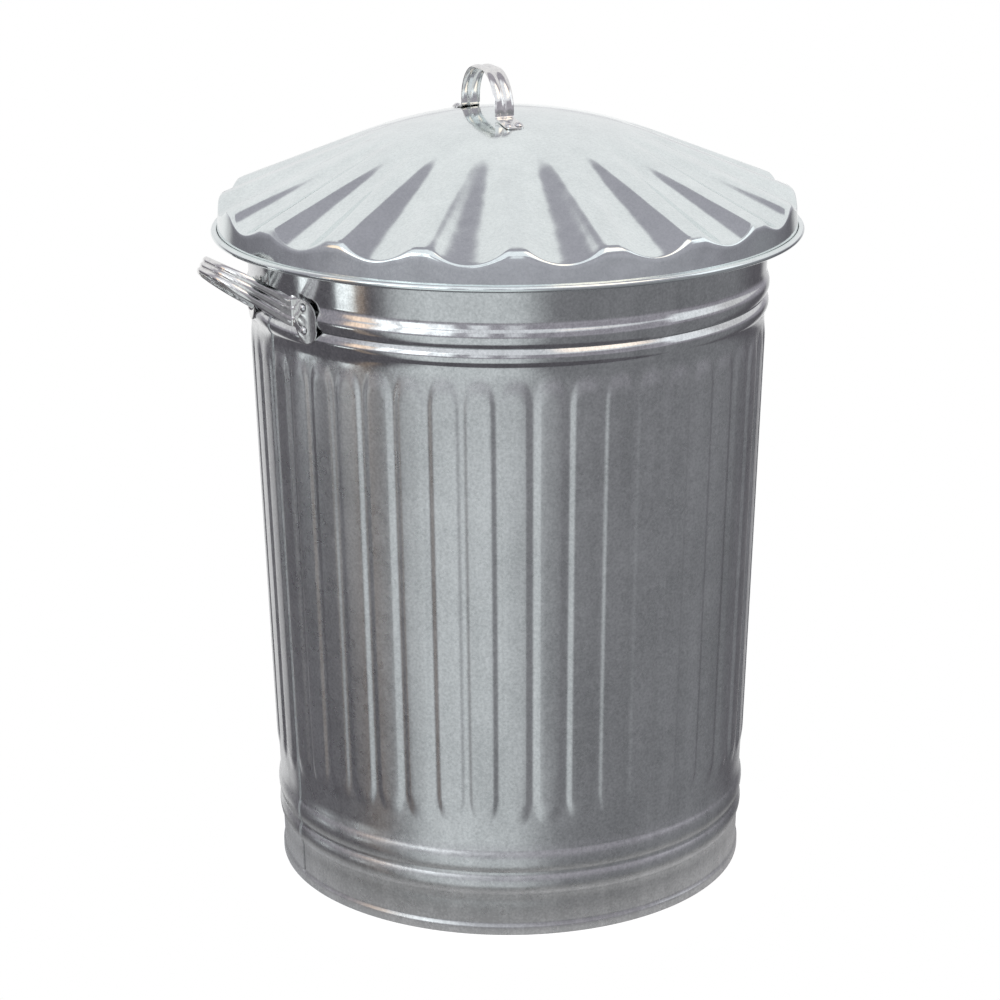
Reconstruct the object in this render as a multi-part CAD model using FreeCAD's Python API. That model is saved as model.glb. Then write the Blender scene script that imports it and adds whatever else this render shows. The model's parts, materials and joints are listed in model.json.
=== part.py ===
import FreeCAD, Part
import math
import os

# Galvanized steel bin with a lift-off lid, in millimetres.
# +Z is up, the origin is at the centre of the base on the floor, and the side handles are on -X and +X.

# Sheet and fits
SHEET = 0.7                  # thickness of the body, base and lid sheet
FIT_GAP = 0.1                # clearance between nested or riveted pieces
WIRE_GAP = 0.4               # clearance between a wire and the edge that is rolled around it
LID_GAP = 0.3                # clearance between the lid and the rim that carries it

# Body wall: the plain sheet, measured on its outer face
BODY_HEIGHT = 606.0
BASE_WALL_RADIUS = 208.9
TOP_WALL_RADIUS = 228.4
RIM_ROLL_RADIUS = 3.9        # outer radius of the rolled top rim
ROLL_SWEEP = 310.0           # degrees that a rolled edge turns around its wire

# Bottom hem, which holds the base pan
HEM_HEIGHT = 8.0
HEM_PROUD = 1.8              # how far the hem stands out from the wall
HEM_FOLD_HEIGHT = 5.5        # height of the hem's inner leg
BASE_FLOOR_HEIGHT = 16.0     # top of the base pan's floor
BASE_CORNER_RADIUS = 4.0

# Swaged beads, from the base up and from the rim down
FOOT_BAND = 38.0             # plain wall below the lower beads
LOWER_BEADS = [20.0, 22.0]   # heights of the beads
UPPER_BEADS = [15.0, 18.0]
TOP_BAND = 64.0              # plain wall above the upper beads
BEAD_DEPTH = 3.0

# Upright flutes of the wall
FLUTE_COUNT = 48
FLUTE_DEPTH = 1.8            # how far a flute stands out from the wall
GROOVE_SHARE = 0.3           # part of the pitch that the groove between two flutes takes
FLUTE_RAMP = 10.0            # height in which a flute fades out
FLUTE_TO_LOWER_BEAD = 21.0
FLUTE_TO_UPPER_BEAD = 7.0
GROOVE_ANGLE = -2.3          # place of the first groove, in degrees from +X

# Lapped side seam, which runs down one groove
SEAM_GROOVE = 24             # number of the groove that holds the seam
SEAM_WIDTH = 8.0
SEAM_START = 24.0            # height at which the lap starts, above the base pan

# Lid
LID_OVERHANG = 15.0          # from the rolled rim to the outer face of the skirt's top
SKIRT_HEIGHT = 28.7          # from the crest's edge to the middle of the hem
SKIRT_FLARE = 2.2
LID_EDGE_RADIUS = 8.0        # rounding between the crest and the skirt
LID_HEM_RADIUS = 3.0         # outer radius of the rolled hem
CREST_PITCH = 21.8           # slope of the fluted cone, in degrees
CROWN_RADIUS = 370.0         # radius of the smooth dome, which runs into the cone

# Pressed flutes of the lid
LID_FLUTE_COUNT = 20
LID_FLUTE_DEPTH = 9.5        # at the skirt
LID_FLUTE_SHARE = 0.79       # part of the pitch that a flute takes at the skirt
LID_FLUTE_START = 110.0      # radius where a flute starts
LID_FLUTE_TIP = 20.0         # radius of curvature at its start
LID_FLUTE_ANGLE = -1.2       # place of the first flute, in degrees from +X
LID_FLUTE_OVERRUN = 24.0     # how far the cutting cone runs past the flute's ends

# Strap handles
STRAP = 1.2                  # thickness of the strap
RIB_HEIGHT = 1.3
SIDE_STRAP_WIDTH = 21.0      # at the feet
SIDE_STRAP_WAIST = 14.0      # at the far end of the bow
SIDE_RIBS = 3
SIDE_HALF_SPAN = 37.0        # from the handle's middle to a leg
SIDE_CORNER = 34.0           # radius of the strap's bends, at its middle
SIDE_REACH = 66.0            # from the foot to the far end of the bow, along the bow
SIDE_TILT = 33.5             # degrees that the bow rises above level
SIDE_BOW_RISE = 4.8          # the bow springs from above the middle of its rivets
SIDE_FOOT_DROP = 3.0         # the feet hang a little below the middle of their rivets
SIDE_FOOT_LENGTH = 29.5
SIDE_FOOT_HEIGHT = 38.0
SIDE_FOOT_CORNER = 14.0
LID_STRAP_WIDTH = 17.0
LID_RIBS = 2
LID_HALF_SPAN = 41.0
LID_HANDLE_CORNER = 34.0
LID_HANDLE_REACH = 36.2
LID_FOOT_LENGTH = 29.0
LID_FOOT_CORNER = 5.0
LID_HANDLE_ANGLE = 81.0      # direction of the loop's span, in degrees from +X
LID_HANDLE_OFFSET = 17.0     # the handle sits off the lid's centre
LID_HANDLE_OFFSET_ANGLE = 156.0

# Rivets
SHANK_RADIUS = 2.2
HEAD_RADIUS = 3.8
HEAD_HEIGHT = 2.2
TAIL_RADIUS = 3.2
TAIL_HEIGHT = 1.5
SIDE_RIVET_SPACING = 19.5    # upwards
SIDE_RIVET_REACH = 14.0      # from a leg to its rivets
LID_RIVET_SPACING = 9.0      # across the strap
LID_RIVET_REACH = 22.0

SEWING = 0.0001              # tolerance with which faces are joined

AXIS = FreeCAD.Vector(0, 0, 1)
ORIGIN = FreeCAD.Vector(0, 0, 0)


def point(radius, height):
    """A point of a section, which is drawn in the XZ plane."""
    return FreeCAD.Vector(radius, 0, height)


def wire(start, steps):
    """A closed wire. A step is an end point, or a (via, end) pair for an arc."""
    edges = []
    here = start
    for step in steps:
        if isinstance(step, tuple):
            via, end = step
            edges.append(Part.Arc(here, via, end).toShape())
        else:
            end = step
            edges.append(Part.makeLine(here, end))
        here = end
    if here.distanceToPoint(start) > 1e-7:
        edges.append(Part.makeLine(here, start))
    return Part.Wire(edges)


def revolve(start, steps, from_angle=0.0, sweep=360.0):
    """Turn a section about the vertical axis."""
    solid = Part.Face(wire(start, steps)).revolve(ORIGIN, AXIS, sweep)
    solid.rotate(ORIGIN, AXIS, from_angle)
    return solid


def on_circle(centre, radius, angle):
    """The point of a section's circle at an angle in degrees."""
    turn = math.radians(angle)
    return centre + FreeCAD.Vector(radius * math.cos(turn), 0, radius * math.sin(turn))


# Body wall

def wall_radius(height):
    """Outer face of the plain wall."""
    return BASE_WALL_RADIUS + (TOP_WALL_RADIUS - BASE_WALL_RADIUS) * height / BODY_HEIGHT


WALL_SLOPE = math.degrees(math.atan((TOP_WALL_RADIUS - BASE_WALL_RADIUS) / BODY_HEIGHT))
HEM_RADIUS = BASE_WALL_RADIUS + HEM_PROUD
FLUTE_START = FOOT_BAND + sum(LOWER_BEADS) + FLUTE_TO_LOWER_BEAD
UPPER_BEAD_END = BODY_HEIGHT - TOP_BAND
UPPER_BEAD_START = UPPER_BEAD_END - sum(UPPER_BEADS)
FLUTE_END = UPPER_BEAD_START - FLUTE_TO_UPPER_BEAD
FLUTE_PITCH = 360.0 / FLUTE_COUNT
SEAM_ANGLE = GROOVE_ANGLE + SEAM_GROOVE * FLUTE_PITCH
SEAM_SWEEP = math.degrees(SEAM_WIDTH / BASE_WALL_RADIUS)
RIM_HEIGHT = BODY_HEIGHT - RIM_ROLL_RADIUS
RIM_RADIUS = wall_radius(RIM_HEIGHT) - SHEET + RIM_ROLL_RADIUS


def skin_steps(stations, offset):
    """Steps along a skin that is moved inwards by the offset. A station is (height, radius, bulge)."""
    steps = []
    for (low, low_radius, _), (high, high_radius, bulge) in zip(stations, stations[1:]):
        end = point(high_radius - offset, high)
        if bulge:
            middle = point((low_radius + high_radius) / 2 + bulge - offset, (low + high) / 2)
            steps.append((middle, end))
        else:
            steps.append(end)
    return steps


def reversed_steps(start, steps):
    """The same run walked the other way, without its first point."""
    ends = [start] + [step[1] if isinstance(step, tuple) else step for step in steps]
    back = []
    for index in range(len(steps) - 1, -1, -1):
        step = steps[index]
        back.append((step[0], ends[index]) if isinstance(step, tuple) else ends[index])
    return back


def sheet_ring(stations, thickness, from_angle=0.0, sweep=360.0):
    """A turned ring of sheet whose outer face follows the stations from the bottom up."""
    height, radius, _ = stations[0]
    outer_start = point(radius, height)
    inner_start = point(radius - thickness, height)
    inner = skin_steps(stations, thickness)
    top_height, top_radius, _ = stations[-1]
    steps = skin_steps(stations, 0.0)
    steps.append(point(top_radius - thickness, top_height))
    steps += reversed_steps(inner_start, inner)
    return revolve(outer_start, steps, from_angle, sweep)


def seamed_ring(stations):
    """A ring of sheet that is doubled at the side seam."""
    single = sheet_ring(stations, SHEET, SEAM_ANGLE + SEAM_SWEEP / 2, 360.0 - SEAM_SWEEP)
    doubled = sheet_ring(stations, 2 * SHEET, SEAM_ANGLE - SEAM_SWEEP / 2, SEAM_SWEEP)
    return single.fuse(doubled)


def bead_stations(start, heights):
    """Stations of a stack of beads that starts at a height."""
    stations = [(start, wall_radius(start), 0.0)]
    height = start
    for bead in heights:
        height += bead
        stations.append((height, wall_radius(height), BEAD_DEPTH))
    return stations


def plain_station(height):
    return (height, wall_radius(height), 0.0)


def bottom_hem():
    """The wall's folded bottom edge, a channel that holds the base pan's flange."""
    channel = SHEET + 2 * FIT_GAP
    inner_face = HEM_RADIUS - SHEET
    fold_face = inner_face - channel
    steps = [
        point(HEM_RADIUS, HEM_HEIGHT),
        point(inner_face, HEM_HEIGHT),
        point(inner_face, SHEET),
        point(fold_face, SHEET),
        point(fold_face, HEM_FOLD_HEIGHT),
        point(fold_face - SHEET, HEM_FOLD_HEIGHT),
        point(fold_face - SHEET, 0),
    ]
    return revolve(point(HEM_RADIUS, 0), steps)


def fluted_wire(height, depth, offset, lap=0.0):
    """One level of the fluted wall: an arc for each flute and one for each groove."""
    crest = wall_radius(height) + depth - offset
    groove = wall_radius(height) - offset
    half_groove = GROOVE_SHARE * FLUTE_PITCH / 2

    def at(radius, angle):
        turn = math.radians(angle)
        return FreeCAD.Vector(radius * math.cos(turn), radius * math.sin(turn), height)

    edges = []
    for index in range(FLUTE_COUNT):
        angle = GROOVE_ANGLE + index * FLUTE_PITCH
        bottom = groove - lap if index == SEAM_GROOVE % FLUTE_COUNT else groove
        groove_end = at(crest, angle + half_groove)
        flute_end = at(crest, angle + FLUTE_PITCH - half_groove)
        edges.append(Part.Arc(at(crest, angle - half_groove), at(bottom, angle), groove_end).toShape())
        edges.append(Part.Arc(groove_end, at(crest, angle + FLUTE_PITCH / 2), flute_end).toShape())
    return Part.Wire(edges)


def fluted_ring():
    """The corrugated part of the wall, whose flutes fade out at both ends."""
    levels = [
        (FLUTE_START, 0.0),
        (FLUTE_START + FLUTE_RAMP, FLUTE_DEPTH),
        (FLUTE_END - FLUTE_RAMP, FLUTE_DEPTH),
        (FLUTE_END, 0.0),
    ]
    outer = [fluted_wire(height, depth, 0.0) for height, depth in levels]
    inner = [fluted_wire(height, depth, SHEET, SHEET) for height, depth in levels]
    faces = Part.makeLoft(outer, False, True).Faces + Part.makeLoft(inner, False, True).Faces
    faces += [Part.Face([outer[end], inner[end]]) for end in (0, -1)]
    ring = Part.Solid(Part.Shell(faces))
    ring.fix(SEWING, SEWING, SEWING)
    return ring


def rolled_edge(centre, roll_radius, turn):
    """A sheet rolled outwards around a wire, from the side that meets the wall."""
    inner_radius = roll_radius - SHEET
    start = 180.0
    middle = start + turn * ROLL_SWEEP / 2
    end = start + turn * ROLL_SWEEP
    steps = [
        (on_circle(centre, roll_radius, middle), on_circle(centre, roll_radius, end)),
        on_circle(centre, inner_radius, end),
        (on_circle(centre, inner_radius, middle), on_circle(centre, inner_radius, start)),
    ]
    return revolve(on_circle(centre, roll_radius, start), steps)


def edge_wire(centre, roll_radius):
    """The wire inside a rolled edge."""
    return Part.makeTorus(centre.x, roll_radius - SHEET - WIRE_GAP, FreeCAD.Vector(0, 0, centre.z))


def body_shell():
    """The whole wall, from the bottom hem to the rolled rim."""
    hem_top = HEM_HEIGHT + HEM_PROUD
    foot = [(HEM_HEIGHT, HEM_RADIUS, 0.0), plain_station(hem_top), plain_station(SEAM_START)]
    lower = [plain_station(SEAM_START)] + bead_stations(FOOT_BAND, LOWER_BEADS)
    lower.append(plain_station(FLUTE_START))
    upper = [plain_station(FLUTE_END)] + bead_stations(UPPER_BEAD_START, UPPER_BEADS)
    upper.append(plain_station(RIM_HEIGHT))
    rings = [sheet_ring(foot, SHEET), seamed_ring(lower), fluted_ring(), seamed_ring(upper)]
    rings.append(rolled_edge(point(RIM_RADIUS, RIM_HEIGHT), RIM_ROLL_RADIUS, -1))
    return bottom_hem().multiFuse(rings)


def base_pan():
    """The dished floor, with a flange that stands in the bottom hem."""
    flange = HEM_RADIUS - SHEET - FIT_GAP
    side = wall_radius(HEM_HEIGHT + HEM_PROUD) - SHEET - FIT_GAP
    step_start = HEM_HEIGHT - FIT_GAP
    step_end = step_start + flange - side
    corner = point(side - BASE_CORNER_RADIUS, BASE_FLOOR_HEIGHT - BASE_CORNER_RADIUS)
    inner_corner = BASE_CORNER_RADIUS - SHEET
    steps = [
        point(flange, step_start),
        point(side, step_end),
        point(side, corner.z),
        (on_circle(corner, BASE_CORNER_RADIUS, 45), point(corner.x, BASE_FLOOR_HEIGHT)),
        point(0, BASE_FLOOR_HEIGHT),
        point(0, BASE_FLOOR_HEIGHT - SHEET),
        point(corner.x, BASE_FLOOR_HEIGHT - SHEET),
        (on_circle(corner, inner_corner, 45), point(side - SHEET, corner.z)),
        point(side - SHEET, step_end - FIT_GAP),
        point(flange - SHEET, step_start - FIT_GAP),
        point(flange - SHEET, SHEET + FIT_GAP),
    ]
    return revolve(point(flange, SHEET + FIT_GAP), steps)


# Lid: heights in this part are counted from the edge where the crest would meet the skirt

SKIRT_RADIUS = RIM_RADIUS + RIM_ROLL_RADIUS + LID_OVERHANG
PITCH = math.radians(CREST_PITCH)


def crest_height(radius):
    return (SKIRT_RADIUS - radius) * math.tan(PITCH)


DOME_TOP = crest_height(CROWN_RADIUS * math.sin(PITCH)) + CROWN_RADIUS * (1 - math.cos(PITCH))


def flute_line():
    """Ends of the line along the bottom of a lid flute, and the unit normal above it."""
    start = point(LID_FLUTE_START, crest_height(LID_FLUTE_START))
    end = point(SKIRT_RADIUS - LID_FLUTE_DEPTH * math.sin(PITCH), -LID_FLUTE_DEPTH * math.cos(PITCH))
    along = (end - start).normalize()
    normal = FreeCAD.Vector(-along.z, 0, along.x)
    return start, end, normal


def lid_seat():
    """Height of the lid's edge when the undersides of its flutes lie on the rim."""
    start, _, normal = flute_line()
    rim = point(RIM_RADIUS, RIM_HEIGHT)
    return (RIM_ROLL_RADIUS + LID_GAP + SHEET - (start - rim).dot(normal)) / normal.z


LID_HEIGHT = lid_seat()
DOME_FACE = LID_HEIGHT + DOME_TOP
CROWN_CENTRE = FreeCAD.Vector(0, 0, DOME_FACE - CROWN_RADIUS)


def lid_blank(offset, bottom):
    """The lid without flutes, as a filled form whose face is moved inwards by the offset."""
    crown = CROWN_RADIUS - offset
    crown_centre = point(0, DOME_TOP - CROWN_RADIUS)
    edge = LID_EDGE_RADIUS - offset
    skirt = SKIRT_RADIUS - offset
    skirt_lean = math.atan(SKIRT_FLARE / SKIRT_HEIGHT)
    edge_turn = math.pi / 2 - PITCH - skirt_lean
    set_back = LID_EDGE_RADIUS * math.tan(edge_turn / 2)
    edge_centre = point(
        SKIRT_RADIUS - set_back * math.cos(PITCH) - LID_EDGE_RADIUS * math.sin(PITCH),
        set_back * math.sin(PITCH) - LID_EDGE_RADIUS * math.cos(PITCH),
    )
    crest_end = 90.0 - CREST_PITCH
    skirt_start = math.degrees(skirt_lean)
    skirt_bottom = skirt + SKIRT_FLARE * (-bottom / SKIRT_HEIGHT)
    steps = [
        (on_circle(crown_centre, crown, 90 - CREST_PITCH / 2), on_circle(crown_centre, crown, crest_end)),
        on_circle(edge_centre, edge, crest_end),
        (
            on_circle(edge_centre, edge, (crest_end + skirt_start) / 2),
            on_circle(edge_centre, edge, skirt_start),
        ),
        point(skirt_bottom, bottom),
        point(0, bottom),
    ]
    return revolve(point(0, DOME_TOP - offset), steps)


def flute_cones(offset):
    """The cones that press the lid's flutes, grown by the offset."""
    start, end, _ = flute_line()
    along = end - start
    width = LID_FLUTE_SHARE * 2 * math.pi * SKIRT_RADIUS / LID_FLUTE_COUNT
    outer_radius = (width * width / 4 + LID_FLUTE_DEPTH ** 2) / (2 * LID_FLUTE_DEPTH)
    half_angle = math.asin((outer_radius - LID_FLUTE_TIP) / along.Length)
    lean = math.atan2(along.z, along.x) + half_angle
    axis = FreeCAD.Vector(math.cos(lean), 0, math.sin(lean))
    upward = FreeCAD.Vector(-axis.z, 0, axis.x)
    growth = math.tan(half_angle)
    base = start + upward * LID_FLUTE_TIP - axis * LID_FLUTE_OVERRUN
    length = along.Length * math.cos(half_angle) + 2 * LID_FLUTE_OVERRUN
    base_radius = LID_FLUTE_TIP - LID_FLUTE_OVERRUN * growth + offset / math.cos(half_angle)
    cone = Part.makeCone(base_radius, base_radius + length * growth, length, base, axis)
    cones = []
    for index in range(LID_FLUTE_COUNT):
        turned = cone.copy()
        turned.rotate(ORIGIN, AXIS, LID_FLUTE_ANGLE + index * 360.0 / LID_FLUTE_COUNT)
        cones.append(turned)
    return cones


def lid_hem_centre():
    """Middle of the rolled hem, in the bin's own heights."""
    radius = SKIRT_RADIUS + SKIRT_FLARE - SHEET + LID_HEM_RADIUS
    return point(radius, LID_HEIGHT - SKIRT_HEIGHT)


def lid_shell():
    """The domed and fluted cover, with its skirt and rolled hem."""
    outer = lid_blank(0.0, -SKIRT_HEIGHT).cut(flute_cones(0.0))
    inner = lid_blank(SHEET, -SKIRT_HEIGHT).cut(flute_cones(SHEET))
    cover = outer.cut(inner)
    cover.translate(FreeCAD.Vector(0, 0, LID_HEIGHT))
    return cover.fuse(rolled_edge(lid_hem_centre(), LID_HEM_RADIUS, 1))


# Strap handles

def strap_section(half_span, along, width, ribs):
    """Section of a ribbed strap, across one leg of a bow whose legs run along +X."""
    outer = -(half_span + STRAP / 2)
    pitch = width / ribs
    low = -width / 2

    def skin(base, index, shift):
        return FreeCAD.Vector(along, base - shift, low + index * pitch)

    steps = []
    for index in range(ribs):
        steps.append((skin(outer, index + 0.5, RIB_HEIGHT), skin(outer, index + 1, 0.0)))
    steps.append(skin(outer + STRAP, ribs, 0.0))
    for index in range(ribs - 1, -1, -1):
        steps.append((skin(outer + STRAP, index + 0.5, RIB_HEIGHT), skin(outer + STRAP, index, 0.0)))
    return Part.Face(wire(skin(outer, 0, 0.0), steps))


def strap_bow(half_span, corner, reach, width, ribs, leg_start):
    """A U-shaped strap in the XY plane: two legs along +X and a cross piece, with rounded bends."""
    leg_end = reach - corner
    centre = FreeCAD.Vector(leg_end, corner - half_span, 0)
    section = strap_section(half_span, leg_end, width, ribs)
    leg = section.extrude(FreeCAD.Vector(leg_start - leg_end, 0, 0))
    bend = section.revolve(centre, AXIS, 90)
    section.rotate(centre, AXIS, 90)
    cross_piece = section.extrude(FreeCAD.Vector(0, half_span - corner, 0))
    half = leg.fuse([bend, cross_piece])
    return half.fuse(half.mirror(ORIGIN, FreeCAD.Vector(0, 1, 0)))


def narrowed(bow, reach, width, waist):
    """Narrow the strap of a bow in a curve towards the bow's far end."""
    half = width / 2
    drop = (width - waist) / 2
    lower = (point(reach / 2, drop / 4 - half), point(reach, drop - half))
    upper = (point(reach / 2, half - drop / 4), point(0, half))
    steps = [point(0, -half), lower, point(reach, half - drop), upper, point(-reach, half)]
    outline = Part.Face(wire(point(-reach, -half), steps))
    outline.translate(FreeCAD.Vector(0, -reach, 0))
    return bow.common(outline.extrude(FreeCAD.Vector(0, 2 * reach, 0)))


def round_corners(foot, radius, thickness):
    """Round the two corners of a foot that lie furthest along +Y."""
    middle = foot.BoundBox.Center.y
    corners = [edge for edge in foot.Edges if edge.Length < 1.5 * thickness and edge.CenterOfMass.y > middle]
    return foot.makeFillet(radius, corners)


SIDE_FOOT_LIFT = BEAD_DEPTH + FIT_GAP        # the feet lie on the crests of the upper beads
SIDE_RIVET_LOW = UPPER_BEAD_START + UPPER_BEADS[0]
SIDE_RIVET_MIDDLE = SIDE_RIVET_LOW + SIDE_RIVET_SPACING / 2
SIDE_FOOT_MIDDLE = SIDE_RIVET_MIDDLE - SIDE_FOOT_DROP
SIDE_FOOT_RADIUS = wall_radius(SIDE_RIVET_MIDDLE) + SIDE_FOOT_LIFT
SIDE_RIVET_ANGLE = math.degrees(math.asin((SIDE_HALF_SPAN + SIDE_RIVET_REACH) / SIDE_FOOT_RADIUS))


def side_foot():
    """A foot of a side handle, on the +Y side, bent to the wall's cone."""
    low = SIDE_FOOT_MIDDLE - SIDE_FOOT_HEIGHT / 2
    high = SIDE_FOOT_MIDDLE + SIDE_FOOT_HEIGHT / 2
    stations = [(height, wall_radius(height) + SIDE_FOOT_LIFT + STRAP, 0.0) for height in (low, high)]
    inner_edge = SIDE_HALF_SPAN - STRAP / 2
    start = math.degrees(math.asin(inner_edge / SIDE_FOOT_RADIUS))
    end = math.degrees(math.asin((inner_edge + SIDE_FOOT_LENGTH) / SIDE_FOOT_RADIUS))
    return round_corners(sheet_ring(stations, STRAP, start, end - start), SIDE_FOOT_CORNER, STRAP)


def side_handle():
    """The handle on the +X side, without its rivet holes."""
    inside = SIDE_HALF_SPAN                  # the legs start well inside the wall and are cut back to it
    bow = strap_bow(SIDE_HALF_SPAN, SIDE_CORNER, SIDE_REACH, SIDE_STRAP_WIDTH, SIDE_RIBS, -inside)
    bow = narrowed(bow, SIDE_REACH + STRAP + RIB_HEIGHT, SIDE_STRAP_WIDTH, SIDE_STRAP_WAIST)
    bow.rotate(ORIGIN, FreeCAD.Vector(0, 1, 0), -SIDE_TILT)
    bow.translate(point(SIDE_FOOT_RADIUS + STRAP, SIDE_RIVET_MIDDLE + SIDE_BOW_RISE))
    core_radius = wall_radius(0) + SIDE_FOOT_LIFT
    core = Part.makeCone(core_radius, wall_radius(BODY_HEIGHT) + SIDE_FOOT_LIFT, BODY_HEIGHT)
    foot = side_foot()
    other_foot = foot.mirror(ORIGIN, FreeCAD.Vector(0, 1, 0))
    return bow.cut(core).fuse([foot, other_foot])


def to_lid_handle(shape):
    """Turn and move a shape from the axis to the lid handle's place, seen from above."""
    turn = math.radians(LID_HANDLE_OFFSET_ANGLE)
    centre = FreeCAD.Vector(math.cos(turn), math.sin(turn), 0) * LID_HANDLE_OFFSET
    shape.rotate(ORIGIN, AXIS, LID_HANDLE_ANGLE - 90.0)
    shape.translate(centre)
    return shape


def foot_prism():
    """The outline of a lid foot on the +Y side, as a tall block."""
    inner_edge = LID_HALF_SPAN - STRAP / 2
    corner = FreeCAD.Vector(-LID_STRAP_WIDTH / 2, inner_edge, 0)
    block = Part.makeBox(LID_STRAP_WIDTH, LID_FOOT_LENGTH, 2 * DOME_FACE, corner)
    return round_corners(block, LID_FOOT_CORNER, 2 * DOME_FACE)


def lid_handle():
    """The loop on top of the lid, with feet that follow the dome, without its rivet holes."""
    inner = Part.makeSphere(CROWN_RADIUS + FIT_GAP, CROWN_CENTRE)
    skin = Part.makeSphere(CROWN_RADIUS + FIT_GAP + STRAP, CROWN_CENTRE).cut(inner)
    block = foot_prism()
    other_block = block.mirror(ORIGIN, FreeCAD.Vector(0, 1, 0))
    feet = [skin.common(to_lid_handle(shape)) for shape in (block, other_block)]
    corner = LID_HANDLE_CORNER
    loop = strap_bow(LID_HALF_SPAN, corner, LID_HANDLE_REACH, LID_STRAP_WIDTH, LID_RIBS, -LID_HALF_SPAN)
    loop.rotate(ORIGIN, FreeCAD.Vector(0, 1, 0), -90)
    loop.translate(point(0, DOME_FACE))
    return to_lid_handle(loop).cut(inner).fuse(feet)


# Rivets: local height 0 is the outer face of the sheet, and +Z points out of it

def cap_middle(base, radius, height):
    """The point halfway along the arc of a domed cap that is centred on the axis."""
    ball = (radius ** 2 + height ** 2) / (2 * abs(height))
    half = math.asin(radius / ball) / 2
    side = 1 if height > 0 else -1
    return point(ball * math.sin(half), base + height - side * ball * (1 - math.cos(half)))


def rivet(lift):
    """A set rivet that joins the sheet to a strap whose underside is lifted off it."""
    head = lift + STRAP + FIT_GAP
    tail = -SHEET - FIT_GAP
    steps = [
        (cap_middle(tail, TAIL_RADIUS, -TAIL_HEIGHT), point(TAIL_RADIUS, tail)),
        point(SHANK_RADIUS, tail),
        point(SHANK_RADIUS, head),
        point(HEAD_RADIUS, head),
        (cap_middle(head, HEAD_RADIUS, HEAD_HEIGHT), point(0, head + HEAD_HEIGHT)),
    ]
    return revolve(point(0, tail - TAIL_HEIGHT), steps)


def drill(lift):
    """The hole for a rivet, through the sheet and the strap."""
    depth = 2 * (SHEET + STRAP) + lift
    return Part.makeCylinder(SHANK_RADIUS + FIT_GAP, depth, point(0, -2 * SHEET))


def place_on_wall(shape, height, angle):
    """Stand a rivet or its drill square on the wall."""
    shape.rotate(ORIGIN, FreeCAD.Vector(0, 1, 0), 90 + WALL_SLOPE)
    shape.translate(point(wall_radius(height), height))
    shape.rotate(ORIGIN, AXIS, angle)
    return shape


def side_rivet_places(facing):
    """(height, angle) of the four rivets of the handle that faces an angle."""
    heights = [SIDE_RIVET_LOW, SIDE_RIVET_LOW + SIDE_RIVET_SPACING]
    return [(height, facing + side * SIDE_RIVET_ANGLE) for side in (-1, 1) for height in heights]


def lid_rivet_places():
    """Places of the four lid rivets, seen from above."""
    along = LID_HALF_SPAN + LID_RIVET_REACH
    across = LID_RIVET_SPACING / 2
    spots = [Part.Vertex(x, y, 0) for y in (-along, along) for x in (-across, across)]
    return [to_lid_handle(spot).Point for spot in spots]


def place_on_dome(shape, place):
    """Stand a rivet or its drill square on the dome, above a place seen from above."""
    tilt_axis = FreeCAD.Vector(-place.y, place.x, 0)
    shape.translate(point(0, DOME_FACE))
    shape.rotate(CROWN_CENTRE, tilt_axis, math.degrees(math.asin(place.Length / CROWN_RADIUS)))
    return shape


def save(name, shape):
    """Write one piece, whose name is the name of its file."""
    if not shape.isValid():
        print("not valid:", name)
    if len(shape.Solids) != 1:
        print("not one solid:", name, len(shape.Solids))
    shape.Solids[0].exportStep(os.path.join("parts", name + ".step"))


def main():
    os.makedirs("parts", exist_ok=True)
    wall_drills = []
    for name, facing in (("right_handle", 0.0), ("left_handle", 180.0)):
        handle = side_handle()
        handle.rotate(ORIGIN, AXIS, facing)
        drills = []
        for number, (height, angle) in enumerate(side_rivet_places(facing), start=1):
            drills.append(place_on_wall(drill(SIDE_FOOT_LIFT), height, angle))
            save("%s_rivet_%d" % (name, number), place_on_wall(rivet(SIDE_FOOT_LIFT), height, angle))
        save(name, handle.cut(drills))
        wall_drills += drills
    save("body_shell", body_shell().cut(wall_drills))
    save("base_pan", base_pan())
    save("rim_wire", edge_wire(point(RIM_RADIUS, RIM_HEIGHT), RIM_ROLL_RADIUS))

    lid_drills = []
    for number, place in enumerate(lid_rivet_places(), start=1):
        save("lid_rivet_%d" % number, place_on_dome(rivet(FIT_GAP), place))
        lid_drills.append(place_on_dome(drill(FIT_GAP), place))
    save("lid_handle", lid_handle().cut(lid_drills))
    save("lid_shell", lid_shell().cut(lid_drills))
    save("lid_hem_wire", edge_wire(lid_hem_centre(), LID_HEM_RADIUS))


main()
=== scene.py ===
import json
import math

import bmesh
import bpy
import numpy as np
from mathutils import Matrix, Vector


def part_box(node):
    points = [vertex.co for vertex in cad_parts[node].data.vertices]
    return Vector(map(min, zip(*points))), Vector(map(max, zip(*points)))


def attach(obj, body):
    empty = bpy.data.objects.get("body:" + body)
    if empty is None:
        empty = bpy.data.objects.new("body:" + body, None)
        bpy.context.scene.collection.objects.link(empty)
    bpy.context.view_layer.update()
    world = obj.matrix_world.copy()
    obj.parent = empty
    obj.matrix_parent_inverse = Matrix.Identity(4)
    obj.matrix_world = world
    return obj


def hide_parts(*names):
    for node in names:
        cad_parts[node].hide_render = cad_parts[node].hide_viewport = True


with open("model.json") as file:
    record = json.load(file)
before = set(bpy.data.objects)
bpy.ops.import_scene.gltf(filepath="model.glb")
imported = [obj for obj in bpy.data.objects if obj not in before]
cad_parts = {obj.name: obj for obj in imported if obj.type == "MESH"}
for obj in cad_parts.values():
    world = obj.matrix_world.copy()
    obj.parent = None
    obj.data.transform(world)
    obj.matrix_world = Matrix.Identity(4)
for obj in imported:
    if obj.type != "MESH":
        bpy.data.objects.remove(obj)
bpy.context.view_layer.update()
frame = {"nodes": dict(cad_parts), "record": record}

# Galvanized bin with a lift-off lid. Metres and degrees, +Z up, the base's centre at the origin.

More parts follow.
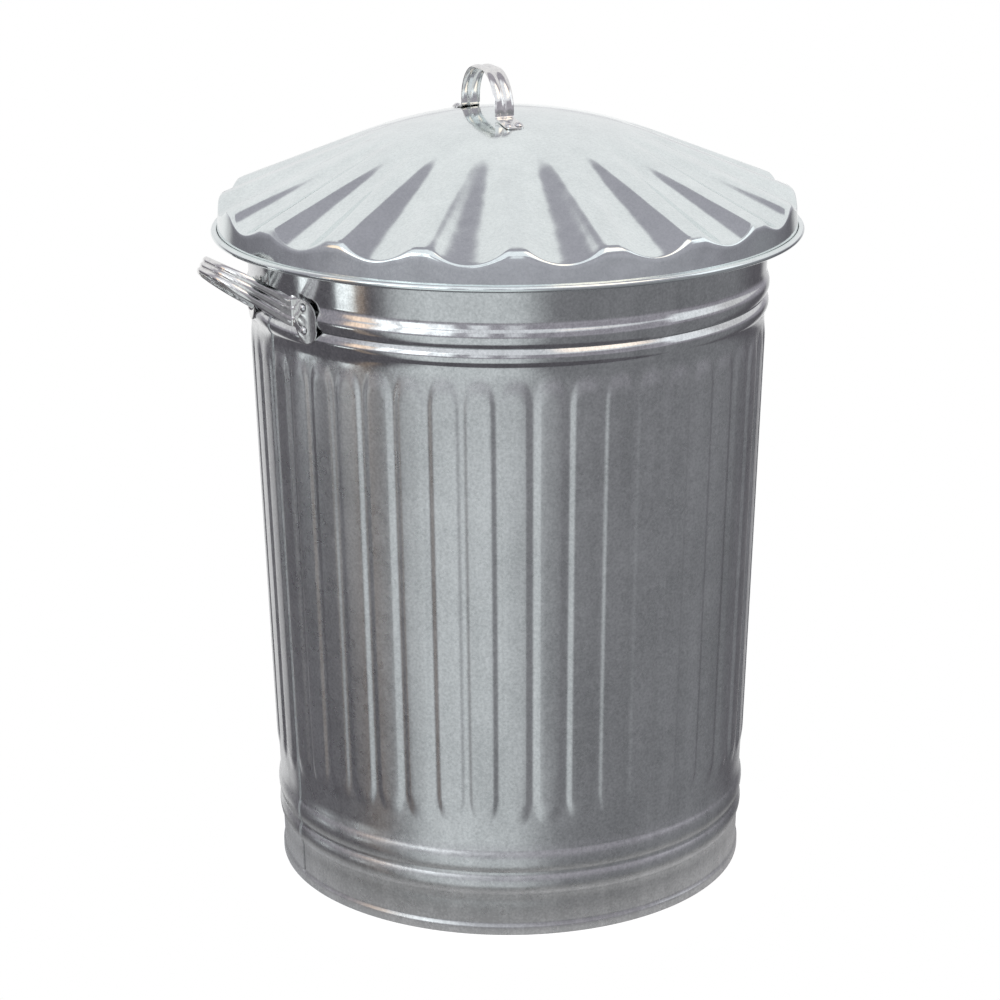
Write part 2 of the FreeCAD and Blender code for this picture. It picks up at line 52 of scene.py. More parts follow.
# Meshes
SHARP_ANGLE = 50.0                       # degrees between two faces from which their edge is shaded sharp
WELD_DISTANCE = 1e-6

# Sheet and body wall, as in the solids
SHEET = 0.0007
BODY_HEIGHT = 0.606
BASE_WALL_RADIUS = 0.2089
TOP_WALL_RADIUS = 0.2284
WALL_SLOPE = (TOP_WALL_RADIUS - BASE_WALL_RADIUS) / BODY_HEIGHT
RIM_ROLL_RADIUS = 0.0039
ROLL_SWEEP = 310.0                       # degrees that a rolled edge turns
LOWER_BEADS = [0.038, 0.058, 0.080]      # heights between which the beads bulge
UPPER_BEADS = [0.509, 0.524, 0.542]
LOWER_BEAD_DEPTH = 0.0024
UPPER_BEAD_DEPTH = 0.003

# Bottom hem, folded round the base pan's flange
HEM_HEIGHT = 0.008
HEM_PROUD = 0.0018                       # how far the hem stands out from the wall
HEM_RADIUS = BASE_WALL_RADIUS + HEM_PROUD
HEM_FOLD_HEIGHT = 0.0055                 # height of the hem's inner leg
HEM_CHANNEL = 0.0009                     # room between the hem's two legs
HEM_CORNER = 0.0012
HEM_CORNER_TURN = 60.0                   # degrees that the hem's lower corner turns
HEM_EDGE_DROP = 0.001                    # the hem's upper edge is rounded off by these three
HEM_EDGE_INSET = 0.0003
HEM_EDGE_EASE = 0.0002

# Flutes of the wall
FLUTE_COUNT = 48
FLUTE_PITCH = 360.0 / FLUTE_COUNT
FLUTE_DEPTH = 0.0014
FLUTE_START = 0.101
FLUTE_END = 0.502
FLUTE_EDGE = 0.0062                      # width over which a flute rises out of its groove
FLUTE_CORNER = 0.011                     # rounding of a flute's ends
FLUTE_END_STRETCH = 0.34                 # a flute's end rises more slowly than its sides
GROOVE_ANGLE = -2.3

# Lapped side seam, in one of the grooves
SEAM_ANGLE = GROOVE_ANGLE + 24 * FLUTE_PITCH
SEAM_STEP = 0.0008                       # height of the lap's outer edge
SEAM_FADE = 7.0                          # degrees over which the lap blends into the wall
SEAM_EDGE = 0.06                         # degrees in which the lap's edge drops
SEAM_GUTTER = 0.0005                     # depth of the line pressed in beside it
SEAM_GUTTER_END = 0.7                    # degrees from the seam to the line's far side
SEAM_GUTTER_RISE = 0.2                   # degrees in which the line's far side rises

# Mesh rows and columns of the wall
HEM_CORNER_ROWS = 4
RIM_ROLL_ROWS = (10, 15)                 # round the inside and the outside of the roll
BEAD_ROWS = 9
FLUTE_END_ROWS = np.linspace(0, 0.026, 11)
FLUTE_MIDDLE_ROWS = np.linspace(FLUTE_START + 0.06, FLUTE_END - 0.06, 5)
PLAIN_ROWS = [0.012, 0.020, 0.030, 0.090, 0.548, 0.560, 0.575, 0.590]
HALF_FLUTE_COLUMNS = np.array([0.0, 0.06, 0.11, 0.15, 0.19, 0.23, 0.36, 0.5])

# Lid
SKIRT_RADIUS = 0.25038
SKIRT_HEIGHT = 0.0287
SKIRT_FLARE = 0.0022
LID_HEM_RADIUS = 0.003
CREST_PITCH = 21.8
CREST_EDGE_RADIUS = 0.008                # rounding between the cover and the skirt, at a crest
VALLEY_EDGE_RADIUS = 0.003               # and at a flute
CROWN_RADIUS = 0.370
LID_FLUTE_COUNT = 20
LID_FLUTE_DEPTH = 0.0095
LID_FLUTE_SHARE = 0.79                   # part of the pitch that a flute takes at the skirt
LID_FLUTE_START = 0.110
LID_FLUTE_TIP = 0.020                    # radius of curvature at a flute's start
LID_FLUTE_ANGLE = -1.2
LID_FLUTE_SOFTNESS = 0.003               # rounding of a flute's shoulders
NO_FLUTE = 1.0                           # stands for a flute's floor where the pressing cone isn't met
SLOPE_STEP = 0.004                       # distance over which the cover's slope is taken

# Mesh rows and columns of the lid
LID_FLUTE_COLUMNS = 24
COVER_ROWS = np.concatenate([np.linspace(0.0, 0.36, 8), np.linspace(0.39, 1.0, 44)])
BEND_ROWS = 8
SKIRT_ROWS = 6
LID_HEM_ROWS = (16, 24)                  # round the inside and the outside of the roll

# Strap handles
STRAP = 0.0012
RIB_HEIGHT = 0.0013
RIB_IN_FOLD = 0.4                        # share of the ribs' height that is left in a fold
FOLD_RADIUS = 0.003                      # bend between a strap's leg and its foot
FOLD_TURNS = np.radians([-72, -54, -36, -18, 0])
STRAP_BEVEL = 0.0004
STRAP_BEVEL_ANGLE = 60.0                 # degrees between two faces from which their edge is rounded
RIB_COLUMNS = 8
LEG_ROWS = 7
BOW_CORNER_ROWS = 19
ROUND_END_TURNS = (0.06, 1.5)            # radians round a foot's rounded end, from close to its tip

# Side handles, on -X and +X
SIDE_STRAP_WIDTH = 0.021
SIDE_STRAP_WAIST = 0.014
SIDE_RIBS = 3
SIDE_HALF_SPAN = 0.037
SIDE_CORNER = 0.034
SIDE_REACH = 0.066
SIDE_TILT = 33.5
SIDE_BOW_HEIGHT = 0.53855
SIDE_LEG_START = 0.003                   # from the fold to the first station of a leg
SIDE_RIB_RUN = 0.018                     # the ribs reach their full height within this of the feet
SIDE_SHEAR_START = 0.004                 # the leg's edges turn from upright to square with the bow,
SIDE_SHEAR_RUN = 0.016                   # from the first of these on and within the second
SIDE_FOOT_HEIGHT = 0.53075
SIDE_FOOT_RADIUS = 0.22918
SIDE_FOOT_LENGTH = 0.0295
SIDE_FOOT_HALF = 0.019
SIDE_FOOT_CORNER = 0.014
SIDE_FOOT_RIB = 0.35                     # share of the ribs' height that runs onto a foot
SIDE_FOOT_RIB_START = 0.4                # share of a foot's length where the ribs begin,
SIDE_FOOT_RIB_RUN = 0.5                  # and within which they rise
SIDE_FOOT_END_ROWS = 12
SIDE_NECK_HALF = 0.0135                  # half the foot's height where it narrows into the fold
SIDE_NECK_RUN = 0.008
SIDE_NECK_ROW = 0.006                    # from the fold to the mesh row in the neck
SIDE_FOLD_HALF = 0.013
SIDE_PLATE_RADIUS = SIDE_FOOT_RADIUS + STRAP / 2
SIDE_FOLD_START = SIDE_HALF_SPAN + FOLD_RADIUS
SIDE_FOLD_OUT = math.sqrt(SIDE_PLATE_RADIUS ** 2 - SIDE_FOLD_START ** 2) + FOLD_RADIUS

# Lid handle
LID_STRAP_WIDTH = 0.017
LID_RIBS = 2
LID_HALF_SPAN = 0.041
LID_CORNER = 0.034
LID_REACH = 0.0362
LID_LEG_START = 0.001
LID_RIB_RUN = 0.012
LID_FOOT_LENGTH = 0.029
LID_FOOT_CORNER = 0.005
LID_FOOT_RIB = 0.25
LID_FOOT_END_ROWS = 8
LID_FOOT_ROWS = 8                        # on the rest of a foot
LID_FOOT_ROWS_START = 0.008              # from the foot's end
LID_FOOT_TOP = 0.006                     # what lies lower than this above the dome's top follows the dome
LID_SEAT_GAP = 0.0001
LID_SEAT_RADIUS = CROWN_RADIUS + STRAP / 2 + LID_SEAT_GAP
LID_FOLD_START = LID_HALF_SPAN + FOLD_RADIUS
LID_HANDLE_ANGLE = 81.0
LID_HANDLE_CENTRE = (-0.01553, 0.00691)

# Zinc coating of each slot: dark and light tone, roughness on the flutes and above them, strength of the
# crystals and height of the sheet's unevenness
FINISHES = {
    "zinc_body": ((0.50, 0.51, 0.515), (0.74, 0.75, 0.755), 0.29, 0.13, 0.15, 0.0003),
    "zinc_lid": ((0.735, 0.785, 0.785), (0.87, 0.925, 0.92), 0.11, 0.11, 0.05, 0.0006),
    "zinc_strap": ((0.70, 0.70, 0.70), (0.94, 0.93, 0.91), 0.12, 0.12, 0.1, 0.0001),
    "rivet": ((0.56, 0.56, 0.57), (0.84, 0.84, 0.85), 0.2, 0.2, 0.2, 0.0),
    "wire": ((0.40, 0.40, 0.41), (0.62, 0.62, 0.63), 0.35, 0.35, 0.2, 0.0),
}
CRYSTAL_SCALE = 170.0
STREAK_STRETCH = (60.0, 60.0, 4.0)
CLOUDS = (14.0, 4.0, 0.6)                # scale, detail and roughness of this noise and the next three
STREAKS = (1.0, 3.0, 0.5)
GRAIN = (420.0, 3.0, 0.6)
WAVES = (22.0, 2.0, 0.45)
CLOUD_WEIGHT = 1.2
STREAK_WEIGHT = 0.9
GRAIN_WEIGHT = 2.0
WALL_TONE = 0.5
FOOT_TONE = 0.15                         # the wall's colour is darker in the band at the foot
ROUGHNESS_SPREAD = 0.3
GLOSS_START = FLUTE_END - 0.01           # height where the scuffed wall begins to turn glossy

# Floor, a disc round the foot
FLOOR_RADIUS = 0.27
FLOOR_COLOR = (0.60, 0.60, 0.60)
FLOOR_GLOW = 0.75
FLOOR_IN_METAL = 0.25                    # the bin reflects the floor duller than the camera sees it

# Room round the bin
ROOM_COLOR = (0.99, 0.95, 1.06)
ROOM_BELOW = 0.13
ROOM_ABOVE = 0.40
ROOM_EDGE = (-0.20, -0.02)               # heights of the view direction between which it brightens
PANEL_FOOT_BLUR = 0.04
PANEL_TOP_BLUR = 0.025

# Panels of light in it: azimuth, half width, low and high end, softness, strength. The ends are heights of
# the view direction.
WHITE = (1.0, 1.0, 1.0)
BACKDROP = [
    (60.0, 78.0, 0.06, 0.856, 20.0, 0.78),
    (74.0, 24.0, -0.80, 0.04, 8.0, 0.90),
    (45.0, 8.0, -0.80, 0.04, 8.0, 0.60),
]
COOL = (0.93, 1.0, 1.0)
COOL_PANELS = [
    (-140.0, 30.0, -0.80, -0.14, 13.0, 0.65),      # bright ground to the left of the camera
    (-50.0, 56.0, -0.80, -0.14, 14.0, 0.125),      # duller ground to the right
    (-120.0, 75.0, 0.42, 0.985, 15.0, 0.57),       # soft light above the camera
    (-175.0, 4.0, 0.04, 0.50, 2.0, 1.5),           # narrow strips, front left
    (-161.0, 6.0, 0.04, 0.50, 2.0, 1.9),
    (-148.0, 4.0, 0.04, 0.50, 2.0, 1.2),
    (-132.0, 3.0, 0.04, 0.40, 2.0, 0.8),
    (-117.0, 3.0, 0.04, 0.40, 2.0, 0.5),
    (-30.0, 14.0, 0.10, 0.60, 5.0, 0.8),           # wide strip, right
    (165.0, 4.8, -0.29, -0.22, 1.0, 2.0),          # low strips, for the plain band under the lid
    (140.0, 3.5, -0.29, -0.18, 1.0, 1.6),
    (-120.0, 75.0, -0.14, 0.04, 15.0, 0.045),      # pale horizon, for the lid's skirt
]
WARM = (1.0, 0.70, 0.42)
WARM_PANELS = [
    (173.0, 6.0, 0.02, 0.40, 2.0, 1.0),
    (172.0, 3.0, -0.60, -0.16, 2.0, 0.22),
    (-70.0, 22.0, 0.55, 0.95, 8.0, 0.8),
]

# Camera
CAMERA_DISTANCE = 2.3789                 # from the bin's axis
CAMERA_HEIGHT = 1.0707
CAMERA_AZIMUTH = -120.0
CAMERA_PITCH = -17.343
CAMERA_YAW = -0.189
CAMERA_ROLL = -0.327
SENSOR = 36.0
LENS = 99.7


# Small helpers

def wall_radius(height):
    return BASE_WALL_RADIUS + WALL_SLOPE * height


def smooth(x):
    """0 below 0, 1 above 1, and a smooth rise between."""
    x = np.clip(x, 0.0, 1.0)
    return x * x * (3 - 2 * x)


def arc(centre, radius, start, end, count):
    """Points of a section's circle, as (radius, height) pairs, between two angles in degrees."""
    turns = np.radians(np.linspace(start, end, count))
    return np.stack([centre[0] + radius * np.cos(turns), centre[1] + radius * np.sin(turns)], axis=1)


def rolled_edge(centre, radius, sweep, inner_count, outer_count):
    """Section of a rolled edge: round its inside from the wall, and back round its outside."""
    end = 180.0 + sweep
    inside = arc(centre, radius - SHEET, 180.0, end, inner_count)
    outside = arc(centre, radius, end, 180.0, outer_count)
    return np.concatenate([inside, outside])


def all_round(section, count):
    """The same section at every angle."""
    return np.broadcast_to(section, (count,) + section.shape)


def turn_section(section, angles):
    """Turn (radius, height) points about the axis. The section may differ from angle to angle."""
    turns = np.radians(angles)[:, None]
    radius = section[..., 0]
    height = np.broadcast_to(section[..., 1], radius.shape)
    return np.stack([radius * np.cos(turns), radius * np.sin(turns), height], axis=-1)


def skin(points, name, closed_round=False, closed_across=False, flipped=False):
    """A mesh from a grid of points, shape (rows, columns, 3), joined end to end where it is closed."""
    rows, columns, _ = points.shape
    grid = np.arange(rows * columns).reshape(rows, columns)
    if closed_round:
        grid = np.concatenate([grid, grid[:1]], axis=0)
    if closed_across:
        grid = np.concatenate([grid, grid[:, :1]], axis=1)
    corners = [grid[:-1, :-1], grid[1:, :-1], grid[1:, 1:], grid[:-1, 1:]]
    if flipped:
        corners = [corners[index] for index in (0, 3, 2, 1)]
    faces = np.stack(corners, axis=-1).reshape(-1, 4)

    mesh = bpy.data.meshes.new(name)
    mesh.from_pydata(points.reshape(-1, 3).tolist(), [], faces.tolist())
    mesh.validate()
    mesh.polygons.foreach_set("use_smooth", [True] * len(mesh.polygons))
    mesh.set_sharp_from_angle(angle=math.radians(SHARP_ANGLE))
    obj = bpy.data.objects.new(name, mesh)
    bpy.context.scene.collection.objects.link(obj)
    return obj


def welded(obj):
    """The same object, with the points that meet on the axis joined."""
    edit = bmesh.new()
    edit.from_mesh(obj.data)
    bmesh.ops.remove_doubles(edit, verts=edit.verts, dist=WELD_DISTANCE)
    edit.to_mesh(obj.data)
    edit.free()
    return obj


# Body wall

def wall_heights():
    """Heights of the wall's mesh rows, close together on the beads and at the flutes' ends."""
    rows = [np.linspace(low, high, BEAD_ROWS) for stack in (LOWER_BEADS, UPPER_BEADS)
            for low, high in zip(stack, stack[1:])]
    rows += [FLUTE_START + FLUTE_END_ROWS, FLUTE_END - FLUTE_END_ROWS, FLUTE_MIDDLE_ROWS, PLAIN_ROWS]
    return np.unique(np.concatenate(rows).round(6))


def wall_angles():
    """Angles of the wall's mesh columns, close together in the grooves and at the seam's edge."""
    offsets = np.concatenate([-HALF_FLUTE_COLUMNS[:-1], HALF_FLUTE_COLUMNS])
    angles = [GROOVE_ANGLE + FLUTE_PITCH * (index + offset)
              for index in range(FLUTE_COUNT) for offset in offsets]
    gutter_end = SEAM_ANGLE + SEAM_GUTTER_END
    angles += [SEAM_ANGLE + SEAM_EDGE, gutter_end, gutter_end + SEAM_GUTTER_RISE]
    return np.unique(np.mod(angles, 360.0).round(4))


def bead_bulge(heights):
    bulge = np.zeros_like(heights)
    for stack, depth in ((LOWER_BEADS, LOWER_BEAD_DEPTH), (UPPER_BEADS, UPPER_BEAD_DEPTH)):
        for low, high in zip(stack, stack[1:]):
            across = (heights - low) / (high - low) * 2 - 1
            bulge = np.where(np.abs(across) < 1, depth * (1 - across ** 2), bulge)
    return bulge


def flute_lift(angles, heights):
    """How far the flutes stand out, on a grid of angles and heights: raised panels with rounded ends."""
    from_groove = np.mod(angles - GROOVE_ANGLE, FLUTE_PITCH)[:, None] / FLUTE_PITCH
    half_width = math.pi * wall_radius(heights)[None, :] / FLUTE_COUNT
    sideways = np.abs(from_groove - 0.5) * 2 * half_width
    half_length = (FLUTE_END - FLUTE_START) / 2
    upwards = np.abs(heights - (FLUTE_END + FLUTE_START) / 2)[None, :]
    over_side = sideways - half_width + FLUTE_CORNER
    over_end = (upwards - half_length) * FLUTE_END_STRETCH + FLUTE_CORNER
    outside = np.hypot(np.maximum(over_side, 0), np.maximum(over_end, 0))
    inside = np.minimum(np.maximum(over_side, over_end), 0)
    depth_in = FLUTE_CORNER - outside - inside
    return FLUTE_DEPTH * smooth(depth_in / FLUTE_EDGE)


def seam_lift(angles, heights):
    """The outer edge of the lapped seam, whose step faces the way that the angles grow, and its gutter."""
    before = np.mod(SEAM_ANGLE - angles, 360.0)[:, None]
    fade = np.where(before < SEAM_FADE, 1 - smooth(before / SEAM_FADE), 0.0)
    in_gutter = before > 360.0 - SEAM_GUTTER_END - SEAM_GUTTER_RISE / 4
    step = SEAM_STEP * fade - np.where(in_gutter, SEAM_GUTTER, 0.0)
    return step * (heights > HEM_HEIGHT + HEM_PROUD)[None, :]


def hem_outside():
    """The bottom hem's outer line, from its foot up to the wall."""
    corner = (HEM_RADIUS - HEM_CORNER, HEM_CORNER)
    edge = [
        (HEM_RADIUS, HEM_HEIGHT - HEM_EDGE_DROP),
        (HEM_RADIUS - HEM_EDGE_INSET, HEM_HEIGHT + HEM_EDGE_EASE),
        (wall_radius(HEM_HEIGHT) + HEM_EDGE_EASE, HEM_HEIGHT + HEM_PROUD),
    ]
    rounding = arc(corner, HEM_CORNER, -HEM_CORNER_TURN, 0, HEM_CORNER_ROWS)
    return np.concatenate([[(corner[0], 0.0)], rounding, edge])


def hem_inside():
    """The bottom hem's inner line, from the wall down and round the channel of the base pan's flange."""
    outer_leg = HEM_RADIUS - SHEET
    inner_leg = outer_leg - HEM_CHANNEL
    return np.array([
        (wall_radius(HEM_HEIGHT) - SHEET, HEM_HEIGHT + HEM_PROUD),
        (outer_leg, HEM_HEIGHT),
        (outer_leg, SHEET),
        (inner_leg, SHEET),
        (inner_leg, HEM_FOLD_HEIGHT),
        (inner_leg - SHEET, HEM_FOLD_HEIGHT),
        (inner_leg - SHEET, 0.0),
    ])


def rim_roll():
    height = BODY_HEIGHT - RIM_ROLL_RADIUS
    centre = (wall_radius(height) - SHEET + RIM_ROLL_RADIUS, height)
    return rolled_edge(centre, RIM_ROLL_RADIUS, -ROLL_SWEEP, *RIM_ROLL_ROWS)


def body_shell():
    """The wall as one closed section: up its outside from the hem, round the rim and down its inside."""
    angles = wall_angles()
    heights = wall_heights()
    pressed = wall_radius(heights)[None, :] + bead_bulge(heights)[None, :] + flute_lift(angles, heights)
    outer = pressed + seam_lift(angles, heights)
    inner = pressed - SHEET
    levels = np.broadcast_to(heights, pressed.shape)
    section = np.concatenate([
        all_round(hem_outside(), len(angles)),
        np.stack([outer, levels], axis=-1),
        all_round(rim_roll(), len(angles)),
        np.stack([inner, levels], axis=-1)[:, ::-2],
        all_round(hem_inside(), len(angles)),
    ], axis=1)
    return skin(turn_section(section, angles), "bin_wall", closed_round=True, closed_across=True)


# Lid

def crest_rise(radius):
    """Height of the lid without flutes above its edge: a cone that runs into a round crown."""
    pitch = math.radians(CREST_PITCH)
    tangent = CROWN_RADIUS * math.sin(pitch)
    cone = (SKIRT_RADIUS - radius) * math.tan(pitch)
    crown_top = (SKIRT_RADIUS - tangent) * math.tan(pitch) + CROWN_RADIUS * (1 - math.cos(pitch))
    crown = crown_top - CROWN_RADIUS + np.sqrt(CROWN_RADIUS ** 2 - np.minimum(radius, tangent) ** 2)
    return np.where(radius > tangent, cone, crown)


def flute_cone():
    """Apex, axis and half angle of the cone that presses one flute, in its own vertical plane."""
    pitch = math.radians(CREST_PITCH)
    start = np.array([LID_FLUTE_START, (SKIRT_RADIUS - LID_FLUTE_START) * math.tan(pitch)])
    end = np.array([SKIRT_RADIUS - LID_FLUTE_DEPTH * math.sin(pitch), -LID_FLUTE_DEPTH * math.cos(pitch)])
    along = end - start
    width = LID_FLUTE_SHARE * 2 * math.pi * SKIRT_RADIUS / LID_FLUTE_COUNT
    outer_radius = (width * width / 4 + LID_FLUTE_DEPTH ** 2) / (2 * LID_FLUTE_DEPTH)
    half_angle = math.asin((outer_radius - LID_FLUTE_TIP) / np.hypot(*along))
    lean = math.atan2(along[1], along[0]) + half_angle
    axis = np.array([math.cos(lean), math.sin(lean)])
    upward = np.array([-axis[1], axis[0]])
    apex = start + upward * LID_FLUTE_TIP - axis * LID_FLUTE_TIP / math.tan(half_angle)
    return apex, axis, half_angle


def flute_floor(radius, turn):
    """Height of the pressing cone's underside at a place that is turned away from the flute's middle."""
    apex, axis, half_angle = flute_cone()
    x = radius * np.cos(turn) - apex[0]
    y = radius * np.sin(turn)
    cos2 = math.cos(half_angle) ** 2
    a = axis[1] ** 2 - cos2
    b = 2 * x * axis[0] * axis[1]
    c = x * x * axis[0] ** 2 - cos2 * (x * x + y * y)
    root = b * b - 4 * a * c
    low = (-b + np.sqrt(np.maximum(root, 0))) / (2 * a)
    return np.where((root > 0) & (x > 0), apex[1] + low, NO_FLUTE)


def lid_rise(radius, angles):
    """Height of the fluted cover above the crest's edge."""
    pitch = 360.0 / LID_FLUTE_COUNT
    turn = np.radians(np.mod(angles - LID_FLUTE_ANGLE + pitch / 2, pitch) - pitch / 2)
    crest = crest_rise(radius)
    floor = flute_floor(radius, turn)
    share = np.clip(0.5 + (floor - crest) / (2 * LID_FLUTE_SOFTNESS), 0, 1)
    blended = floor + (crest - floor) * share - LID_FLUTE_SOFTNESS * share * (1 - share)
    return np.where(floor == NO_FLUTE, crest, blended)


def skirt_edge(angles):
    """Radius, height and slope with which the cover meets the skirt at each angle."""
    edge = np.full((len(angles), 1), SKIRT_RADIUS)
    rise = lid_rise(edge, angles[:, None])
    edge = SKIRT_RADIUS - SKIRT_FLARE * rise / SKIRT_HEIGHT
    rise = lid_rise(edge, angles[:, None])
    slope = np.arctan((lid_rise(edge - SLOPE_STEP, angles[:, None]) - rise) / SLOPE_STEP)
    return edge, rise, slope


def lid_sections(angles):
    """The lid's outer line at each angle: the cover from the middle, the bend and the skirt."""
    lean = math.atan(SKIRT_FLARE / SKIRT_HEIGHT)
    edge, rise, slope = skirt_edge(angles)
    crestness = smooth(1 + rise / LID_FLUTE_DEPTH)
    fillet = VALLEY_EDGE_RADIUS + (CREST_EDGE_RADIUS - VALLEY_EDGE_RADIUS) * crestness
    set_back = fillet * np.tan((math.pi / 2 - slope - lean) / 2)

    cover_end = edge - set_back * np.cos(slope)
    radius = COVER_ROWS[None, :] * cover_end
    cover = np.stack([radius, lid_rise(radius, angles[:, None])], axis=-1)

    normal = math.pi / 2 - slope
    middle_radius = cover_end - fillet * np.cos(normal)
    middle_rise = rise + set_back * np.sin(slope) - fillet * np.sin(normal)
    turn = normal + (lean - normal) * np.linspace(0, 1, BEND_ROWS + 1)[None, 1:]
    bend = np.stack([middle_radius + fillet * np.cos(turn), middle_rise + fillet * np.sin(turn)], axis=-1)

    down = np.linspace(0, 1, SKIRT_ROWS + 1)[None, 1:, None]
    skirt_start = bend[:, -1:]
    skirt_end = np.array([SKIRT_RADIUS + SKIRT_FLARE, -SKIRT_HEIGHT])
    skirt = skirt_start + (skirt_end - skirt_start) * down
    return np.concatenate([cover, bend, skirt], axis=1)


def underside(outer):
    """The sections moved inwards by the sheet's thickness."""
    tangent = np.gradient(outer, axis=1)
    length = np.maximum(np.hypot(tangent[..., 0], tangent[..., 1]), 1e-9)
    inward = np.stack([tangent[..., 1], -tangent[..., 0]], axis=-1) / length[..., None]
    inner = outer + inward * SHEET
    inner[:, 0, 0] = 0.0
    return inner


def lid_shell():
    count = LID_FLUTE_COLUMNS * LID_FLUTE_COUNT
    angles = LID_FLUTE_ANGLE + np.arange(count) * 360.0 / count
    outer = lid_sections(angles)
    hem_centre = (SKIRT_RADIUS + SKIRT_FLARE - SHEET + LID_HEM_RADIUS, -SKIRT_HEIGHT)
    hem = rolled_edge(hem_centre, LID_HEM_RADIUS, ROLL_SWEEP, *LID_HEM_ROWS)[1:]
    section = np.concatenate([outer, all_round(hem, count), underside(outer)[:, ::-1]], axis=1)
    edge_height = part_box("lid_shell")[1].z - float(crest_rise(0.0))
    points = turn_section(section + np.array([0.0, edge_height]), angles)
    points[:, 0] = points[:1, 0]
    points[:, -1] = points[:1, -1]
    return welded(skin(points, "lid_cover", closed_round=True, flipped=True))


# Strap handles. A station is a place along a strap: its centre, the vector from there to the strap's edge,
# its outward normal and the share of the ribs' height.

def bow_line(half_span, corner, reach, leg_start):
    """Half a bow in its own plane: (along, sideways) points and normals, from a leg to the middle."""
    leg_end = reach - corner
    leg = [(along, half_span) for along in np.linspace(leg_start, leg_end, LEG_ROWS + 1)[:-1]]
    bend_turns = np.radians(np.linspace(90, 0, BOW_CORNER_ROWS))
    bend_normals = [(math.cos(turn), math.sin(turn)) for turn in bend_turns]
    bend = [(leg_end + corner * x, half_span - corner + corner * y) for x, y in bend_normals]
    points = leg + bend + [(reach, 0.0)]
    normals = [(0.0, 1.0)] * len(leg) + bend_normals + [(1.0, 0.0)]
    return np.array(points), np.array(normals)


def round_end_steps(corner, count):
    """Distances from a foot's rounded end, close together at its tip."""
    return corner * (1 - np.cos(np.linspace(*ROUND_END_TURNS, count)))


def rounded_half(distance, half, corner):
    """Half width of a foot at a distance from its rounded end."""
    inside = np.clip(corner - distance, 0, corner)
    return half - corner + np.sqrt(corner ** 2 - inside ** 2)


def leg_rib(along, run):
    """The ribs grow along a leg from what is left of them in the fold to their full height."""
    return RIB_IN_FOLD + (1 - RIB_IN_FOLD) * float(smooth(along / run))


def mirrored(stations):
    """Carry on half a strap to the other side of its middle plane."""
    flip = np.array([1, -1, 1])
    return stations + [(centre * flip, half * flip, normal * flip, rib)
                       for centre, half, normal, rib in stations[-2::-1]]


def placed(stations, matrix):
    """Arrays of the stations' centres, half widths, normals and rib shares, moved by a matrix."""
    turn = np.array(matrix.to_3x3())
    shift = np.array(matrix.translation)
    *vectors, rib_shares = map(np.array, zip(*stations))
    centres, halves, normals = (vector @ turn.T for vector in vectors)
    return centres + shift, halves, normals, rib_shares


def ribbed_strap(centres, halves, normals, rib_shares, rib_count, name):
    """A strap through the stations. Its faces stand half its thickness to each side of the grid."""
    across = np.linspace(-1, 1, rib_count * RIB_COLUMNS + 1)
    within_rib = np.mod((across + 1) / 2 * rib_count, 1.0)
    bulge = 1 - (2 * within_rib - 1) ** 2
    bulge[[0, -1]] = 0.0
    lift = RIB_HEIGHT * rib_shares[:, None, None] * bulge[None, :, None]
    strap = skin(centres[:, None] + halves[:, None] * across[None, :, None] + normals[:, None] * lift, name)
    thick = strap.modifiers.new("thickness", "SOLIDIFY")
    thick.thickness = STRAP
    thick.offset = 0.0
    edge = strap.modifiers.new("edges", "BEVEL")
    edge.width = STRAP_BEVEL
    edge.segments = 2
    edge.limit_method = "ANGLE"
    edge.angle_limit = math.radians(STRAP_BEVEL_ANGLE)
    return strap


# Side handle, as it stands on +X

def side_foot():
    """Stations of a foot, a plate curved to the wall, from its rounded end to the fold."""
    foot_end = SIDE_HALF_SPAN - STRAP / 2 + SIDE_FOOT_LENGTH
    run = foot_end - SIDE_FOLD_START
    stations = []
    for distance in [*round_end_steps(SIDE_FOOT_CORNER, SIDE_FOOT_END_ROWS), run - SIDE_NECK_ROW, run]:
        sideways = foot_end - distance
        neck = float(smooth((distance - run + SIDE_NECK_RUN) / SIDE_NECK_RUN))
        half = rounded_half(distance, SIDE_FOOT_HALF, SIDE_FOOT_CORNER)
        half = half + (SIDE_NECK_HALF - SIDE_FOOT_HALF) * neck
        height = SIDE_FOOT_HEIGHT + (SIDE_BOW_HEIGHT - SIDE_FOOT_HEIGHT) * neck
        plate_radius = SIDE_PLATE_RADIUS + WALL_SLOPE * (height - SIDE_BOW_HEIGHT)
        outward = math.sqrt(plate_radius ** 2 - sideways ** 2)
        normal = np.array([outward, sideways, 0]) / SIDE_PLATE_RADIUS
        upward = np.array([WALL_SLOPE * normal[0], WALL_SLOPE * normal[1], 1.0])
        rib = SIDE_FOOT_RIB * float(smooth((distance / run - SIDE_FOOT_RIB_START) / SIDE_FOOT_RIB_RUN))
        stations.append((np.array([outward, sideways, height]), upward * half, normal, rib))
    return stations


def side_fold():
    """Stations of the bend between a foot and its leg."""
    stations = []
    for turn in FOLD_TURNS:
        outward = SIDE_FOLD_OUT + FOLD_RADIUS * math.sin(turn)
        sideways = SIDE_FOLD_START - FOLD_RADIUS * math.cos(turn)
        normal = np.array([-math.sin(turn), math.cos(turn), 0.0])
        centre = np.array([outward, sideways, SIDE_BOW_HEIGHT])
        stations.append((centre, np.array([0, 0, SIDE_FOLD_HALF]), normal, RIB_IN_FOLD))
    return stations


